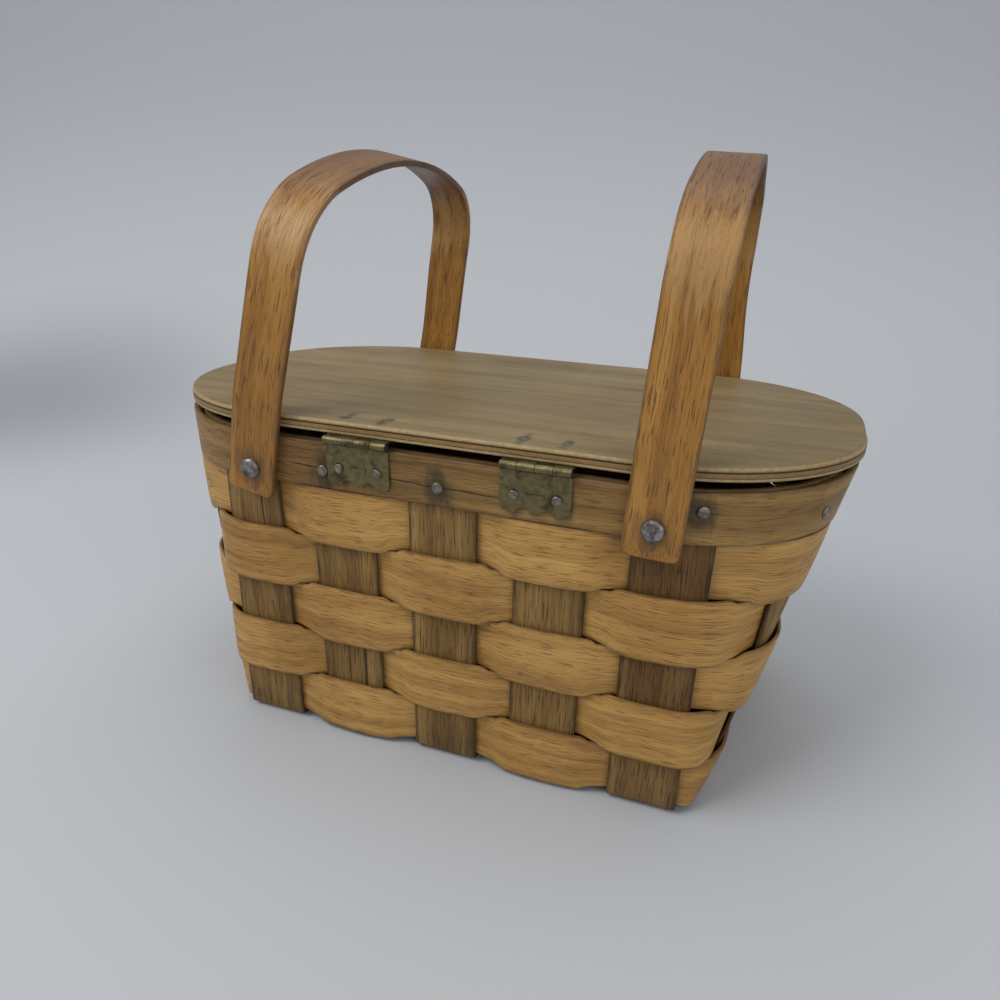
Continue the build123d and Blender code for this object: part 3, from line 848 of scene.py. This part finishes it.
giveMaterial(bpy.data.objects["lid_panel"], lidMaterial())
print("lid finished")


# metals: aged brass leaves, grey steel pins, rivets and nails

metal = {
    "brass": {
        "bright": (0.20, 0.165, 0.075),
        "dull": (0.12, 0.10, 0.048),
        "dirt": (0.045, 0.036, 0.02),
        "rough": 0.40,
        "scale": 420,
    },
    "rivet": {
        "bright": (0.33, 0.31, 0.30),
        "dull": (0.12, 0.10, 0.095),
        "dirt": (0.05, 0.035, 0.028),
        "rough": 0.38,
        "scale": 520,
    },
    "nail": {
        "bright": (0.30, 0.275, 0.235),
        "dull": (0.13, 0.115, 0.085),
        "dirt": (0.05, 0.045, 0.03),
        "rough": 0.42,
        "scale": 560,
    },
}


def metalMaterial(name, look):
    n = Nodes(name)
    place = n.coords("Object")
    tarnish = n.noise(n.mapped(place, (look["scale"],) * 3), 1.0, 5.0, 0.65)
    grime = n.noise(n.mapped(place, (look["scale"] * 0.4,) * 3, (2, 5, 1)), 1.0, 4.0, 0.6)
    colour = n.ramp(tarnish, [(0.35, look["dull"]), (0.62, look["bright"])])
    dirty = n.band(grime, 0.48, 0.7)
    colour = n.mix(n.scaled(dirty, 0.75), colour, look["dirt"])
    rough = n.maths("ADD", look["rough"], n.scaled(dirty, 0.3))
    return n.finish(colour, rough, n.bump(tarnish, 0.35, 0.0003), 0.85, 0.5)


brassMaterial = metalMaterial("agedBrass", metal["brass"])
rivetMaterial = metalMaterial("rivetSteel", metal["rivet"])
nailMaterial = metalMaterial("nailSteel", metal["nail"])
for side in ("left", "right"):
    for leaf in ("_hinge_body_leaf", "_hinge_lid_leaf"):
        giveMaterial(bpy.data.objects[side + leaf], brassMaterial)
    giveMaterial(bpy.data.objects[side + "_hinge_pin"], nailMaterial)
    giveMaterial(bpy.data.objects[side + "_handle_rivets"], rivetMaterial)
giveMaterial(bpy.data.objects["rivet_washers"], rivetMaterial)
for node in ("rim_nails", "hinge_body_nails", "hinge_lid_nails"):
    giveMaterial(bpy.data.objects[node], nailMaterial)
print("metals finished")


# floor, lights and camera

studio = {
    "floor": (0.50, 0.522, 0.552),
    "floorBehind": (0.385, 0.402, 0.435),
    "floorDim": (0.27, 0.282, 0.30),
    "floorMottle": (0.46, 0.485, 0.515),
    "dimSpot": (-0.66, 0.28, 0.0),
    "world": (0.66, 0.658, 0.668),
    "worldShare": 0.62,
    "lights": [
        ("keyLight", (-0.9, -0.9, 1.5), 1.1, 16.5, (1.0, 0.985, 0.96)),
        ("fillLight", (1.3, -1.2, 0.9), 1.4, 6.6, (1.0, 1.0, 1.0)),
        ("topLight", (0.0, 0.5, 1.7), 1.6, 10.0, (1.0, 1.0, 1.0)),
    ],
    "lightAim": (0, 0, 0.08),
    "cameraAzimuth": 20.13,
    "cameraElevation": 25.63,
    "cameraRoll": 1.373,
    "cameraPlace": (0.11027, -0.32386, 0.21926),
    "sweepStart": 0.35,
    "sweepRadius": 0.75,
    "lens": 28.707,
    "shiftX": 0.0076,
    "shiftY": 0.0666,
}

bpy.ops.object.select_all(action="DESELECT")
bpy.ops.mesh.primitive_grid_add(x_subdivisions=2, y_subdivisions=120, size=6, calc_uvs=True)
floor = bpy.context.object
floor.name = "floor"
for vertex in floor.data.vertices:  # a paper sweep: flat, then rising in a wide curve behind
    past = max(vertex.co.y - studio["sweepStart"], 0.0)
    turn = min(past / studio["sweepRadius"], pi / 2)
    if past > 0:
        beyond = max(past - studio["sweepRadius"] * pi / 2, 0.0)
        vertex.co.y = studio["sweepStart"] + studio["sweepRadius"] * sin(turn)
        vertex.co.z = studio["sweepRadius"] * (1 - cos(turn)) + beyond
    vertex.co.z -= 0.00005
floor.rotation_euler = (0, 0, radians(12))
bpy.ops.object.transform_apply(location=True, rotation=True, scale=True)
bpy.ops.object.shade_smooth()
n = Nodes("floorPaper")
place = n.coords("Object")
mottle = n.noise(n.mapped(place, (3, 3, 3)), 1.0, 3.0)
paper = n.mix(n.scaled(mottle, 0.2), studio["floor"], studio["floorMottle"])
# painted shade: the paper darker where it rises behind
rise = n.band(n.split(place)[2], 0.0, 0.45)
# painted shadow: a dark patch on the floor at the left
shadowPatch = n.inverse(n.band(n.distance(place, studio["dimSpot"]), 0.02, 0.34))
paper = n.mix(n.scaled(shadowPatch, 0.75), paper, studio["floorDim"])
n.finish(n.mix(rise, paper, studio["floorBehind"]), 0.75, None, 0.0, 0.2)
floor.data.materials.append(n.material)
floor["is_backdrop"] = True

for name, place, size, power, shade in studio["lights"]:
    bpy.ops.object.light_add(type="AREA", location=place)
    light = bpy.context.object
    light.name = name
    light.data.size = size
    light.data.energy = power
    light.data.color = shade
    aim = Vector(studio["lightAim"]) - Vector(place)
    light.rotation_euler = aim.to_track_quat("-Z", "Y").to_euler()
    light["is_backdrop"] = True

world = bpy.context.scene.world or bpy.data.worlds.new("room")
bpy.context.scene.world = world
world.use_nodes = True
world.node_tree.nodes["Background"].inputs["Color"].default_value = (*studio["world"], 1)
world.node_tree.nodes["Background"].inputs["Strength"].default_value = studio["worldShare"]

azimuth = radians(studio["cameraAzimuth"])
elevation = radians(studio["cameraElevation"])
roll = radians(studio["cameraRoll"])
right = Vector((cos(azimuth), sin(azimuth), 0))
back = Vector((sin(azimuth) * cos(elevation), -cos(azimuth) * cos(elevation), sin(elevation)))
up = back.cross(right)
rolledRight = right * cos(roll) + up * sin(roll)
rolledUp = up * cos(roll) - right * sin(roll)
turn = Matrix((rolledRight, rolledUp, back)).transposed()
bpy.ops.object.camera_add(location=studio["cameraPlace"], rotation=turn.to_euler())
camera = bpy.context.object
camera.data.sensor_width = 36
camera.data.lens = studio["lens"]
camera.data.shift_x = studio["shiftX"]
camera.data.shift_y = studio["shiftY"]
camera.data.clip_start = 0.01
camera.data.dof.use_dof = False
bpy.context.scene.camera = camera
camera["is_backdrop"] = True
bpy.context.scene.view_settings.view_transform = "Standard"
print("studio set")

low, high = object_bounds()
